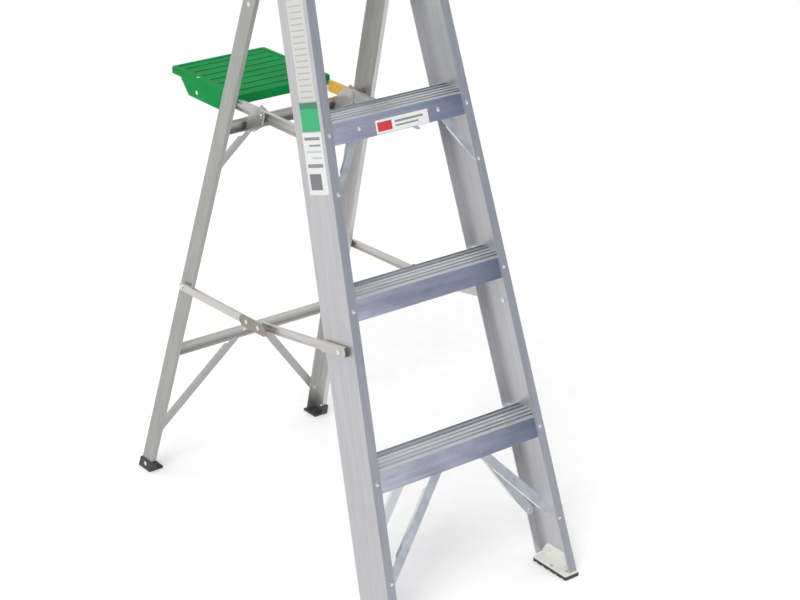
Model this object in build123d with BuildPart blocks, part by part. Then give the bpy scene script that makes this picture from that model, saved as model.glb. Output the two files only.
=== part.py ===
"""Aluminium step ladder with three treads, a moulded top cap and a folding pail shelf.

The ladder stands open on the floor. +Z is up and the climber stands on the -Y side.
The origin is the middle of the ladder's box, on the floor. Lengths are in millimetres.
Pieces that come in pairs are drawn on the +X side and mirrored.
"""
import os
from math import atan2, cos, degrees, hypot, radians, sin, sqrt, tan

from build123d import *

os.makedirs("parts", exist_ok=True)

# ---------------------------------------------------------------- driving dimensions
step_count = 3
step_pitch = 304.8          # from tread to tread, measured along the rail
front_slope = 17.25         # rails, from the vertical
rear_slope = 17.8           # rear legs, from the vertical
front_taper = 3.3           # each rail, towards the middle
rear_taper = 3.5            # each rear leg, towards the middle
front_half_width = 212.0    # outer face of a rail at the floor
rear_half_width = 218.0     # outer face of a rear leg at the floor

rail_depth = 90.0
rail_flange = 18.0
rail_wall = 2.2
leg_depth = 34.0
leg_flange = 26.0
leg_lip = 9.0
leg_wall = 1.8
fold_gap = 5.4              # between a rail and a leg when the ladder is folded

nose_lift = 10.0            # tread surface above the pitch mark, along the rail
step_depth = 64.0           # rear face of a step, behind the front face of the rails
step_wall = 1.8
tread_thickness = 3.0
apron_drop = 28.0           # bottom of the apron below the pitch mark, along the rail
skirt_height = 25.0
nose_radius = 2.4
groove_count = 5
groove_width = 5.0
groove_depth = 1.3
step_rivet_drop = 8.0       # below the pitch mark, along the rail
step_rivet_inset = 10.0     # from the outer face of the rail
clip_width = 16.0
clip_height = 20.0
clip_wall = 2.0

rivet_radius = 2.4
rivet_head_radius = 4.4
rivet_head_height = 1.6
rivet_tail_radius = 3.6
rivet_tail_height = 1.4
hole_clearance = 0.05       # radial, around rivets
pivot_clearance = 0.1       # radial, around pins that turn
plate_clearance = 0.3       # between flat faces that slide

brace_wall = 1.6
brace_rib = 6.0
brace_tab = 36.0            # from the rivet to the bend
knee_brace_tab = 30.0
bottom_brace_width = 18.0
knee_brace_width = 13.0
leg_brace_width = 16.0
shelf_brace_width = 12.0

foot_pad_height = 6.5
foot_pad_inner = 179.0
foot_pad_overhang = 3.0
foot_pad_rear = 90.0
foot_groove_count = 5
foot_groove_depth = 2.0
foot_plate_wall = 2.2
foot_plate_height = 34.0
shoe_wall = 3.0
shoe_sole = 4.5
shoe_height = 22.0
shoe_toe = 32.0             # width of the sole

cap_height = 58.0
cap_wall = 3.5
cap_half_width = 150.5
cap_rear_reach = 33.5       # behind the hinge
cap_rear_lip = 22.0
cap_side_depth = 96.0       # the side walls cover the rails to this depth
cap_corner = 8.0
cap_edge = 2.5
cap_fit = 0.2
hinge_drop = 24.0           # hinge axis below the top of the cap
hinge_bolt_radius = 4.0
hinge_head_radius = 7.0
hinge_head_height = 5.0
strap_wall = 2.5
strap_width = 22.0
strap_length = 140.0

rear_bar_height = 24.0      # the two cross bars of the rear section
rear_bar_depth = 10.0
lower_bar_along = 279.0     # bottom edge, along the leg
upper_bar_along = 804.0

spreader_height = 16.0
spreader_depth = 6.0
spreader_wall = 1.5
front_pivot_along = 534.0
front_pivot_depth = 34.0
rear_pivot_along = 463.0
rear_pivot_depth = 20.0
centre_reach = 243.7        # from the front pivot to the centre hinge, along Y
centre_sag = 41.6           # centre hinge below the front pivot
spreader_pin_radius = 3.0
sleeve_length = 80.0
sleeve_wall = 1.4
centre_plate_height = 22.0
centre_plate_wall = 2.2
centre_plate_front = 28.0
centre_plate_rear = 61.0
centre_rivet_pitch = 38.4

tray_half_width = 108.0
tray_length = 232.0
tray_top = 833.5
tray_wall = 3.0
tray_skirt_wall = 2.5
tray_corner = 8.0
tray_hole_radius = 5.5
tray_recess = 1.2
tray_rim = 9.0
tray_rib_count = 7
tray_rib_width = 3.0
tray_pad = 5.0              # between the tray and an arm
arm_half_gap = 100.0        # centre of an arm from the middle
arm_height = 21.0
arm_width = 8.0
arm_wall = 1.6
arm_pin_radius = 3.0
arm_pivot_depth = -12.0     # in front of the rear legs
arm_reach = 207.0           # front end of an arm, from its pivot
tray_gap = 77.0             # from the arm pivot to the front edge of the tray
cheek_wall = 2.0
cheek_gap = 0.5
arm_tail = 60.0             # the arm stops this far short of the rear edge of the tray

# ---------------------------------------------------------------- frames of the sections
front_rad = radians(front_slope)
rear_rad = radians(rear_slope)
cap_top = ((step_count + 1) * step_pitch + nose_lift) * cos(front_rad)
cap_bottom = cap_top - cap_height
hinge_z = cap_top - hinge_drop
hinge_depth = rail_depth + fold_gap + leg_depth / 2
hinge_run = hinge_z * tan(front_rad) + hinge_depth / cos(front_rad)
rear_run = hinge_run + hinge_z * tan(rear_rad) - leg_depth / 2 / cos(rear_rad)
shoe_rear_run = rear_run + (leg_depth + shoe_wall) / cos(rear_rad)
front_y = foot_pad_overhang - (shoe_rear_run + foot_pad_overhang) / 2
rear_y = front_y + rear_run
hinge_y = front_y + hinge_run
hinge_along = hinge_z / cos(rear_rad) - leg_depth / 2 * tan(rear_rad)

# local x across, local y up the slope, local -z into the depth of the section
front_plane = Plane(origin=(0, front_y, 0), x_dir=(1, 0, 0), z_dir=(0, -cos(front_rad), sin(front_rad)))
rear_plane = Plane(origin=(0, rear_y, 0), x_dir=(1, 0, 0), z_dir=(0, -cos(rear_rad), -sin(rear_rad)))
# local x is world Y and local y is world Z
side_plane = Plane(origin=(0, 0, 0), x_dir=(0, 1, 0), z_dir=(1, 0, 0))


def front_half(along):
    """Outer face of a rail from the middle, at a place along the slope."""
    return front_half_width - along * tan(radians(front_taper))


def rear_half(along):
    """Outer face of a rear leg from the middle, at a place along the slope."""
    return rear_half_width - along * tan(radians(rear_taper))


def spot(section, across, along, depth, facing=1):
    """Plane on a section whose z points to the front (1) or to the rear (-1)."""
    place = section.from_local_coords((across, along, -depth))
    return Plane(origin=place, x_dir=section.y_dir, z_dir=section.z_dir * facing)


def side_point(section, along, depth):
    """The (y, z) of a place on a section, for sketches on side_plane."""
    place = section.from_local_coords((0, along, -depth))
    return (place.Y, place.Z)


def slope_y(depth, height):
    """World y of a plane of the front section at a height."""
    return front_y + height * tan(front_rad) + depth / cos(front_rad)


def channel_plane(section, half_width, taper):
    """Plane on a rail's outer front corner: x outward, y into the depth, z up the rail."""
    turn = radians(taper)
    outward = section.x_dir * cos(turn) + section.y_dir * sin(turn)
    upward = section.y_dir * cos(turn) - section.x_dir * sin(turn)
    corner = section.from_local_coords((half_width, 0, 0))
    return Plane(origin=corner, x_dir=outward, z_dir=upward)


rail_plane = channel_plane(front_plane, front_half_width, front_taper)
leg_plane = channel_plane(rear_plane, rear_half_width, rear_taper)


def web_spot(channel, along, depth, taper):
    """Plane on the outer face of a rail's web, with z outward and x up the rail."""
    place = channel.from_local_coords((0, depth, along / cos(radians(taper))))
    return Plane(origin=place, x_dir=channel.z_dir, z_dir=channel.x_dir)


def opposite(plane):
    """The mirror image of a plane on the other side of the ladder."""
    place = Vector(-plane.origin.X, plane.origin.Y, plane.origin.Z)
    facing = Vector(-plane.z_dir.X, plane.z_dir.Y, plane.z_dir.Z)
    return Plane(origin=place, z_dir=facing)


def profile(section, across=0.0):
    """Plane through a section with x into its depth and y along it."""
    place = section.from_local_coords((across, 0, 0))
    return Plane(origin=place, x_dir=section.z_dir * -1, z_dir=(1, 0, 0))


def cross_spot(across, point):
    """Plane at (y, z) with z pointing to +X."""
    return Plane(origin=(across, point[0], point[1]), x_dir=(0, 1, 0), z_dir=(1, 0, 0))


def save(piece, name):
    """Label a piece and write it."""
    piece.label = name
    export_step(piece, f"parts/{name}.step")


def save_pair(piece, name):
    """Write a piece of the +X side and its mirror image."""
    save(mirror(piece, about=Plane.YZ), f"{name}_left")
    save(piece, f"{name}_right")


def drill(spots, radius, reach=20.0):
    """Round holes through the open part, at each plane."""
    with Locations(*spots):
        Cylinder(radius, 2 * reach, mode=Mode.SUBTRACT)


def drill_rivets(spots, reach=6.0):
    """Holes for rivets, through the sheets that they join."""
    drill(spots, rivet_radius + hole_clearance, reach)


def rivet_blank(grip, tail=rivet_tail_height):
    """One rivet with its head on z = 0 and its shank down to -grip."""
    with BuildPart() as blank:
        with BuildSketch(Plane.XZ):
            with BuildLine():
                Line((0, -grip - tail), (0, rivet_head_height))
                RadiusArc((0, rivet_head_height), (rivet_head_radius, 0), -2.4 * rivet_head_radius)
                Polyline((rivet_head_radius, 0), (rivet_radius, 0), (rivet_radius, -grip))
                if tail > 0:
                    Polyline(
                        (rivet_radius, -grip),
                        (rivet_tail_radius, -grip),
                        (rivet_tail_radius, -grip - tail),
                        (0, -grip - tail),
                    )
                else:
                    Line((rivet_radius, -grip), (0, -grip))
            make_face()
        revolve(axis=Axis.Z)
    return blank.part


def save_rivets(name, groups):
    """Rivets on both sides of the ladder as one group; groups are (spots, grip, tail)."""
    blanks = [(spots, rivet_blank(grip, tail)) for spots, grip, tail in groups]
    with BuildPart() as rivets:
        for spots, blank in blanks:
            with Locations(*spots):
                add(blank)
        mirror(about=Plane.YZ)
    save(rivets.part, name)


# ---------------------------------------------------------------- places of the joints
mark = [step_pitch * number for number in range(1, step_count + 1)]
tread_height = [(along + nose_lift) * cos(front_rad) for along in mark]
knee_low = (front_half(804.5) - 12.0, 804.5)
knee_high = (86.0, mark[-1] - 8.4)
front_brace_low = (front_half(118.0) - 12.0, 118.0)
front_brace_high = (46.0, mark[0] - 17.0)
rear_brace_low = (front_half(122.0) - 12.0, 122.0)
rear_brace_high = (78.0, mark[0] - 14.0)
lower_diagonal_low = (rear_half(52.0) - 13.0, 52.0)
lower_diagonal_high = (19.5, lower_bar_along + rear_bar_height / 2)
upper_diagonal_low = (rear_half(697.0) - 13.0, 697.0)
upper_diagonal_high = (74.0, upper_bar_along + rear_bar_height / 2)
apron_face = rail_wall
apron_back = rail_wall + step_wall
flange_back = rail_depth - rail_wall
bar_back = leg_depth - leg_wall

step_rivet_spots = [
    spot(front_plane, front_half(along - step_rivet_drop) - step_rivet_inset, along - step_rivet_drop, 0)
    for along in mark
]
clip_along = [
    (height + step_depth * sin(front_rad)) / cos(front_rad) - tread_thickness - clip_height for height in tread_height
]
clip_middle = [along + clip_height / 2 for along in clip_along]
clip_rear_spots = [spot(front_plane, front_half(a) - rail_wall - 9.0, a, rail_depth, -1) for a in clip_middle]
clip_front_spots = [
    spot(front_plane, front_half(a) - rail_wall - 9.0, a, step_depth + clip_wall, -1) for a in clip_middle
]
knee_low_spot = spot(front_plane, *knee_low, 0)
knee_high_spot = spot(front_plane, *knee_high, apron_face)
front_brace_low_spot = spot(front_plane, *front_brace_low, 0)
front_brace_high_spot = spot(front_plane, *front_brace_high, apron_back + brace_wall, -1)
rear_brace_low_spot = spot(front_plane, *rear_brace_low, rail_depth, -1)
rear_brace_high_spot = spot(front_plane, *rear_brace_high, step_depth + brace_wall, -1)
foot_rivet_spots = [web_spot(rail_plane, *place, front_taper) for place in ((32.0, 28.0), (44.0, 62.0))]
shoe_rivet_spots = [web_spot(leg_plane, 8.0, leg_depth / 2, rear_taper).offset(shoe_wall)]
bar_rivet_spots = [
    spot(rear_plane, rear_half(along + rise) - 16.0, along + rise, leg_depth, -1)
    for along in (lower_bar_along, upper_bar_along)
    for rise in (6.0, rear_bar_height - 6.0)
]
diagonal_low_spots = [
    spot(rear_plane, *low, leg_depth + brace_wall, -1) for low in (lower_diagonal_low, upper_diagonal_low)
]
diagonal_high_spots = [
    spot(rear_plane, *high, bar_back + brace_wall, -1) for high in (lower_diagonal_high, upper_diagonal_high)
]
strap_rivet_spots = [
    web_spot(leg_plane, hinge_along - drop, leg_depth / 2, rear_taper) for drop in (113.0, 73.0)
]
front_pivot = side_point(front_plane, front_pivot_along, front_pivot_depth)
rear_pivot = side_point(rear_plane, rear_pivot_along, rear_pivot_depth)
centre_hinge = (front_pivot[0] + centre_reach, front_pivot[1] - centre_sag)
arm_z = tray_top - tray_wall - tray_pad - arm_height / 2
arm_pivot_along = (arm_z - arm_pivot_depth * sin(rear_rad)) / cos(rear_rad)
arm_pivot = side_point(rear_plane, arm_pivot_along, arm_pivot_depth)

# ---------------------------------------------------------------- front section: rails
rail_foot_z = foot_pad_height + foot_plate_wall
cap_pocket_z = cap_top - cap_wall
cap_rivet_spots = [
    cross_spot(0, (slope_y(rail_depth / 2, height), height)) for height in (cap_bottom + 17.0, cap_bottom + 40.0)
]

with BuildPart() as front_rail:
    with BuildSketch(rail_plane.offset(-rail_depth)):
        Rectangle(rail_flange, rail_depth, align=(Align.MAX, Align.MIN))
        with Locations((-rail_wall, rail_wall)):
            Rectangle(rail_flange, rail_depth - 2 * rail_wall, align=(Align.MAX, Align.MIN), mode=Mode.SUBTRACT)
    extrude(amount=rail_depth + cap_top / cos(front_rad) + rail_depth)
    split(bisect_by=Plane.XY.offset(rail_foot_z), keep=Keep.TOP)
    split(bisect_by=Plane.XY.offset(cap_pocket_z - 1.0), keep=Keep.BOTTOM)
    drill_rivets(step_rivet_spots + clip_rear_spots)
    drill_rivets([knee_low_spot, front_brace_low_spot, rear_brace_low_spot])
    drill_rivets(foot_rivet_spots)
    with Locations(*[plane.offset(front_half(1170.0)) for plane in cap_rivet_spots]):
        Cylinder(rivet_radius + hole_clearance, 30.0, mode=Mode.SUBTRACT)
    with Locations(cross_spot(front_half(front_pivot_along), front_pivot)):
        Cylinder(spreader_pin_radius + hole_clearance, 12.0, mode=Mode.SUBTRACT)
save_pair(front_rail.part, "front_rail")

# ---------------------------------------------------------------- front section: steps
rail_inner = web_spot(rail_plane, 0, 0, front_taper).offset(-rail_wall)

for number, along in enumerate(mark, start=1):
    top = tread_height[number - 1]
    under = top - tread_thickness
    apron_low = (along - apron_drop) * cos(front_rad) - apron_face * sin(front_rad)
    skirt_low = top - skirt_height
    tread_front = slope_y(apron_face, top)
    tread_rear = slope_y(step_depth, top)
    groove_pitch = (tread_rear - tread_front) / (groove_count + 0.5)
    groove_middle = (tread_front + tread_rear) / 2 + groove_pitch / 5
    with BuildPart() as step:
        with BuildSketch(side_plane):
            with BuildLine():
                Polyline(
                    (slope_y(apron_face, apron_low), apron_low),
                    (tread_front, top),
                    (tread_rear, top),
                    (slope_y(step_depth, skirt_low), skirt_low),
                    (slope_y(step_depth - step_wall, skirt_low), skirt_low),
                    (slope_y(step_depth - step_wall, under), under),
                    (slope_y(apron_back, under), under),
                    (slope_y(apron_back, apron_low), apron_low),
                    close=True,
                )
            make_face()
            upper_corners = vertices().group_by(Axis.Y)[-1].sort_by(Axis.X)
            fillet([upper_corners[0], upper_corners[-1]], nose_radius)
            with Locations((groove_middle, top)):
                with GridLocations(groove_pitch, 1, groove_count, 1):
                    Rectangle(groove_width, 2 * groove_depth, mode=Mode.SUBTRACT)
        extrude(amount=front_half_width, both=True)
        split(bisect_by=rail_inner, keep=Keep.BOTTOM)
        split(bisect_by=opposite(rail_inner), keep=Keep.BOTTOM)
        ends = [step_rivet_spots[number - 1], clip_front_spots[number - 1]]
        if number == 1:
            ends += [front_brace_high_spot, rear_brace_high_spot]
        if number == step_count:
            ends += [knee_high_spot]
        with BuildPart(mode=Mode.PRIVATE) as bores:
            with Locations(*ends):
                Cylinder(rivet_radius + hole_clearance, 12.0)
            mirror(about=Plane.YZ)
        add(bores.part, mode=Mode.SUBTRACT)
    save(step.part, f"step_{number}")

with BuildPart() as step_clips:
    for along in clip_along:
        with BuildSketch(rail_plane.offset(along / cos(radians(front_taper)))):
            with Locations((-rail_wall, step_depth)):
                Rectangle(clip_width, flange_back - step_depth, align=(Align.MAX, Align.MIN))
            with Locations((-rail_wall - clip_wall, step_depth + clip_wall)):
                Rectangle(
                    clip_width,
                    flange_back - step_depth - 2 * clip_wall,
                    align=(Align.MAX, Align.MIN),
                    mode=Mode.SUBTRACT,
                )
        extrude(amount=clip_height)
    drill_rivets(clip_rear_spots + clip_front_spots)
    mirror(about=Plane.YZ)
save(step_clips.part, "step_clips")

save_rivets(
    "step_rivets",
    [
        (step_rivet_spots, rail_wall + step_wall, rivet_tail_height),
        (clip_rear_spots, rail_wall + clip_wall, rivet_tail_height),
        (clip_front_spots, step_wall + clip_wall, rivet_tail_height),
    ],
)


# ---------------------------------------------------------------- braces
def brace(section, low, high, low_face, high_face, width, rib, bend):
    """Pressed strip between two mounting faces, with its ends flat and its middle ribbed.

    low and high are (across, along) on the section, and the faces are the depths of the
    surfaces that the strip's ends lie on, on their rear side.
    """
    start = section.from_local_coords((low[0], low[1], -low_face))
    run = Vector(high[0] - low[0], high[1] - low[1], 0)
    length = run.length
    along = (section.x_dir * run.X + section.y_dir * run.Y).normalized()
    into = section.z_dir * -1
    rise = high_face - low_face
    edge = Plane(origin=start, x_dir=along, z_dir=along.cross(into))
    flat = bend + rib
    with BuildPart() as strip:
        with BuildSketch(edge):
            with BuildLine():
                Polyline(
                    (-width, 0),
                    (bend, 0),
                    (length - bend, rise),
                    (length + width, rise),
                    (length + width, rise + brace_wall),
                    (length - bend, rise + brace_wall),
                    (bend, brace_wall),
                    (-width, brace_wall),
                    close=True,
                )
            make_face()
        extrude(amount=width / 2, both=True)
        slope = rise / (length - 2 * bend)
        first = brace_wall + (flat - bend) * slope
        last = rise + brace_wall - (flat - bend) * slope
        rib_outline = [
            (flat, first),
            (flat + rib, first + rib + rib * slope),
            (length - flat - rib, last + rib - rib * slope),
            (length - flat, last),
        ]
        with BuildSketch(edge):
            with BuildLine():
                Polyline(*rib_outline, close=True)
            make_face()
        extrude(amount=width / 2, both=True)
        with BuildSketch(edge):
            with BuildLine():
                Polyline(*rib_outline, close=True)
            make_face()
        extrude(amount=width / 2 - brace_wall, both=True, mode=Mode.SUBTRACT)
        with BuildSketch(Plane(origin=start, x_dir=along, z_dir=into).offset(-rail_depth)):
            with Locations((length / 2, 0)):
                SlotOverall(length + width, width)
        extrude(amount=2 * rail_depth, mode=Mode.INTERSECT)
        drill_rivets([Plane(origin=start, z_dir=into)])
        drill_rivets([spot(section, *high, high_face)])
    return strip.part


save_pair(
    brace(
        front_plane,
        front_brace_low,
        front_brace_high,
        rail_wall,
        apron_back,
        bottom_brace_width,
        brace_rib,
        brace_tab,
    ),
    "bottom_step_front_brace",
)
save_pair(
    brace(
        front_plane,
        rear_brace_low,
        rear_brace_high,
        flange_back - brace_wall,
        step_depth,
        bottom_brace_width,
        brace_rib,
        brace_tab,
    ),
    "bottom_step_rear_brace",
)
save_pair(
    brace(
        front_plane,
        knee_low,
        knee_high,
        rail_wall,
        apron_back,
        knee_brace_width,
        0.7 * brace_rib,
        knee_brace_tab,
    ),
    "top_step_knee_brace",
)
save_pair(
    brace(
        rear_plane,
        lower_diagonal_low,
        lower_diagonal_high,
        leg_depth,
        bar_back,
        leg_brace_width,
        brace_rib,
        brace_tab,
    ),
    "rear_diagonal_lower",
)
save_pair(
    brace(
        rear_plane,
        upper_diagonal_low,
        upper_diagonal_high,
        leg_depth,
        bar_back,
        shelf_brace_width,
        brace_rib,
        brace_tab,
    ),
    "rear_diagonal_upper",
)
save_rivets(
    "brace_rivets",
    [
        ([knee_low_spot, front_brace_low_spot], rail_wall + brace_wall, rivet_tail_height),
        ([knee_high_spot], step_wall + brace_wall, rivet_tail_height),
        ([front_brace_high_spot, rear_brace_high_spot], step_wall + brace_wall, 0),
        ([rear_brace_low_spot], rail_wall + brace_wall, rivet_tail_height),
    ],
)

# ---------------------------------------------------------------- front feet
pad_outer = front_half_width + 1.0
pad_front = front_y - foot_pad_overhang
pad_rear = front_y + foot_pad_rear
pad_middle = ((foot_pad_inner + pad_outer) / 2, (pad_front + pad_rear) / 2)
foot_screw_places = [(187.0, front_y + 44.0), (195.6, front_y + 12.5)]
foot_screw_spots = [Plane(origin=(x, y, rail_foot_z)) for x, y in foot_screw_places]
screw_bite = 3.5

with BuildPart() as foot_pad:
    with BuildSketch():
        with Locations(pad_middle):
            RectangleRounded(pad_outer - foot_pad_inner, pad_rear - pad_front, 3.0)
    extrude(amount=foot_pad_height)
    with BuildSketch():
        with Locations(pad_middle):
            with GridLocations(1, (pad_rear - pad_front) / foot_groove_count, 1, foot_groove_count):
                Rectangle(pad_outer, 7.0)
    extrude(amount=foot_groove_depth, mode=Mode.SUBTRACT)
    with Locations(*[plane.offset(-foot_plate_wall) for plane in foot_screw_spots]):
        Hole(rivet_radius + hole_clearance, depth=screw_bite + 0.5)
save_pair(foot_pad.part, "front_foot_pad")

upright_low = foot_pad_height + foot_plate_wall
with BuildPart() as foot_bracket:
    with BuildSketch(side_plane.offset(front_half_width / 2)):
        with BuildLine():
            Polyline(
                (slope_y(rail_wall + 1.0, foot_pad_height), foot_pad_height),
                (slope_y(rail_wall + 1.0, upright_low + 4.0), upright_low + 4.0),
                (front_y + 33.0, foot_plate_height),
                (front_y + 78.0, foot_plate_height),
                (slope_y(flange_back - 1.0, upright_low + 4.0), upright_low + 4.0),
                (slope_y(flange_back - 1.0, foot_pad_height), foot_pad_height),
                close=True,
            )
        make_face()
    extrude(amount=front_half_width)
    split(bisect_by=rail_inner, keep=Keep.BOTTOM)
    split(bisect_by=rail_inner.offset(-foot_plate_wall), keep=Keep.TOP)
    with BuildSketch(Plane.XY.offset(foot_pad_height)):
        with Locations(pad_middle):
            RectangleRounded(pad_outer - foot_pad_inner - 1.0, pad_rear - pad_front - 2.0, 3.0)
    extrude(amount=foot_plate_wall)
    drill_rivets(foot_rivet_spots)
    drill_rivets(foot_screw_spots)
save_pair(foot_bracket.part, "front_foot_bracket")

save_rivets(
    "front_foot_rivets",
    [
        (foot_rivet_spots, rail_wall + foot_plate_wall, rivet_tail_height),
        (foot_screw_spots, foot_plate_wall + screw_bite, 0),
    ],
)

# ---------------------------------------------------------------- top cap
cap_skin = cap_fit + cap_wall
cap_rear = hinge_y + cap_rear_reach
cap_inner = cap_half_width - cap_wall
cap_middle = (slope_y(-cap_skin, cap_top) + cap_rear) / 2
cap_length = cap_rear - slope_y(-cap_skin, cap_top)
recess_depth = 1.5
rail_outer = web_spot(rail_plane, 0, 0, front_taper).offset(cap_fit)

with BuildPart(mode=Mode.PRIVATE) as cap_front_hollow:
    with BuildSketch(side_plane):
        with BuildLine():
            Polyline(
                (slope_y(-cap_fit, cap_bottom - cap_height), cap_bottom - cap_height),
                (slope_y(-cap_fit, cap_pocket_z), cap_pocket_z),
                (slope_y(rail_depth + 3.0, cap_pocket_z), cap_pocket_z),
                (slope_y(rail_depth + 3.0, cap_bottom - cap_height), cap_bottom - cap_height),
                close=True,
            )
        make_face()
    extrude(amount=cap_half_width, both=True)
    split(bisect_by=rail_outer, keep=Keep.BOTTOM)
    split(bisect_by=opposite(rail_outer), keep=Keep.BOTTOM)

with BuildPart() as top_cap:
    with BuildSketch(side_plane):
        with BuildLine():
            Polyline(
                (slope_y(-cap_skin, cap_bottom), cap_bottom),
                (slope_y(-cap_skin, cap_top), cap_top),
                (cap_rear, cap_top),
                (cap_rear, cap_top - cap_rear_lip),
                (slope_y(cap_side_depth, cap_bottom), cap_bottom),
                close=True,
            )
        make_face()
    extrude(amount=cap_half_width, both=True)
    corners = edges().filter_by(lambda edge: edge.length < 2 * cap_height)
    corners = corners.filter_by(lambda edge: abs(edge.tangent_at(0.5).Z) > 0.9)
    fillet(corners, cap_corner)
    fillet(faces().sort_by(Axis.Z)[-1].outer_wire().edges(), cap_edge)
    add(cap_front_hollow.part, mode=Mode.SUBTRACT)
    with BuildSketch(side_plane):
        with BuildLine():
            Polyline(
                (slope_y(rail_depth + 2.0, cap_bottom - cap_height), cap_bottom - cap_height),
                (slope_y(rail_depth + 2.0, cap_pocket_z), cap_pocket_z),
                (cap_rear - cap_wall, cap_pocket_z),
                (cap_rear - cap_wall, cap_bottom - cap_height),
                close=True,
            )
        make_face()
    extrude(amount=cap_inner, both=True, mode=Mode.SUBTRACT)
    with BuildSketch(Plane.XY.offset(cap_top)):
        with Locations((0, cap_middle)):
            RectangleRounded(2 * cap_half_width - 36.0, cap_length - 32.0, 10.0)
    extrude(amount=-recess_depth, mode=Mode.SUBTRACT)
    with Locations(*cap_rivet_spots):
        Cylinder(rivet_radius + hole_clearance, 4 * cap_half_width, mode=Mode.SUBTRACT)
    with Locations(cross_spot(0, (hinge_y, hinge_z))):
        Cylinder(hinge_bolt_radius + hole_clearance, 4 * cap_half_width, mode=Mode.SUBTRACT)
save(top_cap.part, "top_cap")

cap_rivet_groups = []
for plane in cap_rivet_spots:
    along = (plane.origin.Z + rail_depth / 2 * sin(front_rad)) / cos(front_rad)
    reach = cap_half_width - front_half(along) + rail_wall + plate_clearance
    cap_rivet_groups.append(([plane.offset(cap_half_width)], reach, rivet_tail_height))
save_rivets("cap_rivets", cap_rivet_groups)


def turned(place, spans):
    """A pin along z of a place, stacked from (radius, from, to)."""
    with BuildPart() as pin:
        with Locations(place):
            for radius, start, end in spans:
                with Locations((0, 0, (start + end) / 2)):
                    Cylinder(radius, end - start)
    return pin.part


leg_web_at_hinge = rear_half(hinge_along)
hinge_axis = cross_spot(0, (hinge_y, hinge_z))
hinge_nut_face = leg_web_at_hinge - leg_wall - strap_wall - 1.0
hinge_bolt = turned(
    hinge_axis,
    [(hinge_bolt_radius, hinge_nut_face - hinge_head_height - 1.0, cap_half_width + hinge_head_height / 2)],
)
with BuildPart() as hinge_bolts:
    add(hinge_bolt)
    with BuildSketch(hinge_axis.offset(cap_half_width)):
        RegularPolygon(hinge_head_radius, 6)
    extrude(amount=hinge_head_height)
    with BuildSketch(hinge_axis.offset(hinge_nut_face)):
        RegularPolygon(hinge_head_radius, 6)
        Circle(hinge_bolt_radius + hole_clearance, mode=Mode.SUBTRACT)
    extrude(amount=-hinge_head_height)
    with BuildSketch(hinge_axis.offset(leg_web_at_hinge + 0.9)):
        Circle(strap_width * 0.4)
        Circle(hinge_bolt_radius + pivot_clearance, mode=Mode.SUBTRACT)
    extrude(amount=cap_inner - leg_web_at_hinge - 1.1)
    mirror(about=Plane.YZ)
save(hinge_bolts.part, "cap_pivot_bolts")

# ---------------------------------------------------------------- rear section: legs
tray_bracket_spots = [
    Plane(
        origin=rear_plane.from_local_coords((arm_half_gap, upper_bar_along + rear_bar_height + cheek_wall, -26.0)),
        x_dir=(1, 0, 0),
        z_dir=rear_plane.y_dir,
    )
]

with BuildPart() as rear_leg:
    with BuildSketch(leg_plane.offset(-leg_depth)):
        Rectangle(leg_wall, leg_depth, align=(Align.MAX, Align.MIN))
        Rectangle(leg_lip, leg_wall, align=(Align.MAX, Align.MIN))
        with Locations((0, leg_depth)):
            Rectangle(leg_flange, leg_wall, align=(Align.MAX, Align.MAX))
    extrude(amount=leg_depth + hinge_along)
    with BuildSketch(web_spot(leg_plane, hinge_along, leg_depth / 2, rear_taper)):
        Circle(leg_depth / 2)
    extrude(amount=-leg_wall)
    split(bisect_by=Plane.XY.offset(shoe_sole), keep=Keep.TOP)
    drill_rivets(shoe_rivet_spots + bar_rivet_spots + diagonal_low_spots + strap_rivet_spots)
    with Locations(cross_spot(leg_web_at_hinge, (hinge_y, hinge_z))):
        Cylinder(hinge_bolt_radius + pivot_clearance, 20.0, mode=Mode.SUBTRACT)
    with Locations(cross_spot(rear_half(rear_pivot_along), rear_pivot)):
        Cylinder(spreader_pin_radius + hole_clearance, 12.0, mode=Mode.SUBTRACT)
save_pair(rear_leg.part, "rear_leg")

with BuildPart() as hinge_strap:
    strap_middle = hinge_along + (strap_width - strap_length) / 2
    with BuildSketch(web_spot(leg_plane, strap_middle, leg_depth / 2, rear_taper).offset(-leg_wall)):
        SlotOverall(strap_length, strap_width)
    extrude(amount=-strap_wall)
    drill_rivets(strap_rivet_spots)
    with Locations(cross_spot(leg_web_at_hinge, (hinge_y, hinge_z))):
        Cylinder(hinge_bolt_radius + pivot_clearance, 20.0, mode=Mode.SUBTRACT)
save_pair(hinge_strap.part, "hinge_strap")

leg_inner = web_spot(leg_plane, 0, 0, rear_taper).offset(-leg_wall - plate_clearance)
for along, high_place, name in (
    (lower_bar_along, diagonal_high_spots[0], "rear_bar_lower"),
    (upper_bar_along, diagonal_high_spots[1], "rear_bar_upper"),
):
    with BuildPart() as rear_bar:
        with BuildSketch(profile(rear_plane)):
            with Locations((bar_back, along)):
                Rectangle(rear_bar_depth, rear_bar_height, align=(Align.MAX, Align.MIN))
            with Locations((bar_back - leg_wall, along + leg_wall)):
                Rectangle(
                    rear_bar_depth,
                    rear_bar_height - 2 * leg_wall,
                    align=(Align.MAX, Align.MIN),
                    mode=Mode.SUBTRACT,
                )
        extrude(amount=rear_half_width, both=True)
        split(bisect_by=leg_inner, keep=Keep.BOTTOM)
        split(bisect_by=opposite(leg_inner), keep=Keep.BOTTOM)
        with BuildPart(mode=Mode.PRIVATE) as bores:
            with Locations(high_place, *bar_rivet_spots):
                Cylinder(rivet_radius + hole_clearance, 12.0)
            if along == upper_bar_along:
                with Locations(*tray_bracket_spots):
                    Cylinder(rivet_radius + hole_clearance, 12.0)
            mirror(about=Plane.YZ)
        add(bores.part, mode=Mode.SUBTRACT)
    save(rear_bar.part, name)

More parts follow.
